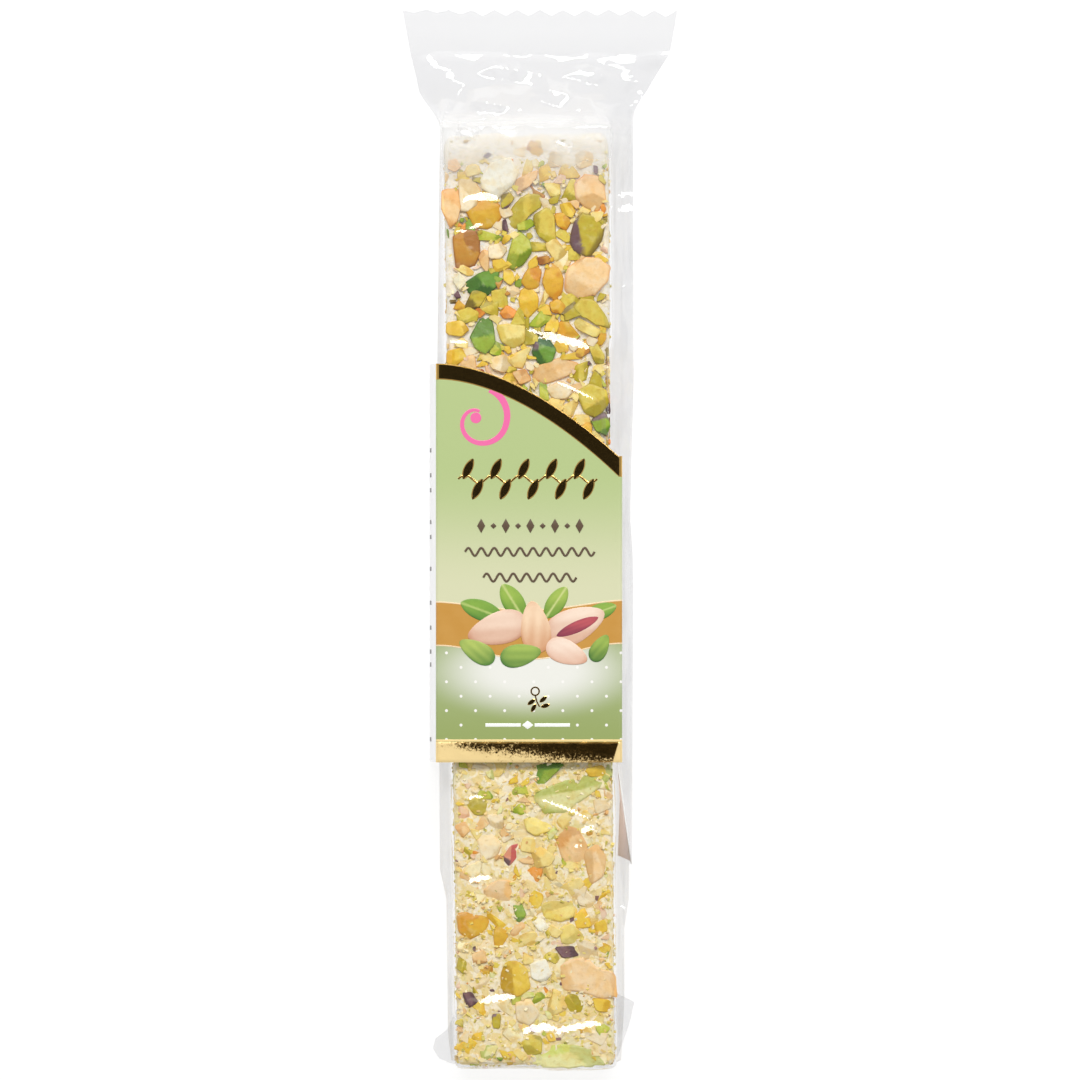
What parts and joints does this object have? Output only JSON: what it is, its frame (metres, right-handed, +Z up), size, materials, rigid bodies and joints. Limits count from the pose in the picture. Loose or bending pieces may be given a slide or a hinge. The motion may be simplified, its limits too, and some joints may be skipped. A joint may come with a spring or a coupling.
{
  "type": "nougat bar in clear film with a card sleeve",
  "caption": "Long nougat bar with chopped nuts, sealed in clear crimped film and held in a loose printed card sleeve.",
  "frame": {"origin": "on the ground under the middle of the whole part's box, with the bar lying shown side up", "axes": "+Y along the bar towards the open crimped seal, +X to the right seen from above, +Z up out of the sleeve's printed front"},
  "size_m": [0.0516, 0.1986, 0.0167],
  "materials": {
    "wrapped_nougat": "cream nougat with almonds, peanuts and pistachios seen through clear film",
    "clear_film": "clear glossy film with creases",
    "nougat": "soft cream nougat",
    "nuts": "chopped almond, peanut and pistachio",
    "printed_card": "satin coated card, printed green",
    "gold_foil": "hot stamped gold foil"
  },
  "bodies": {
    "root": {"film_pack": "wrapped_nougat", "sleeve": "printed_card"}
  },
  "joints": []
}
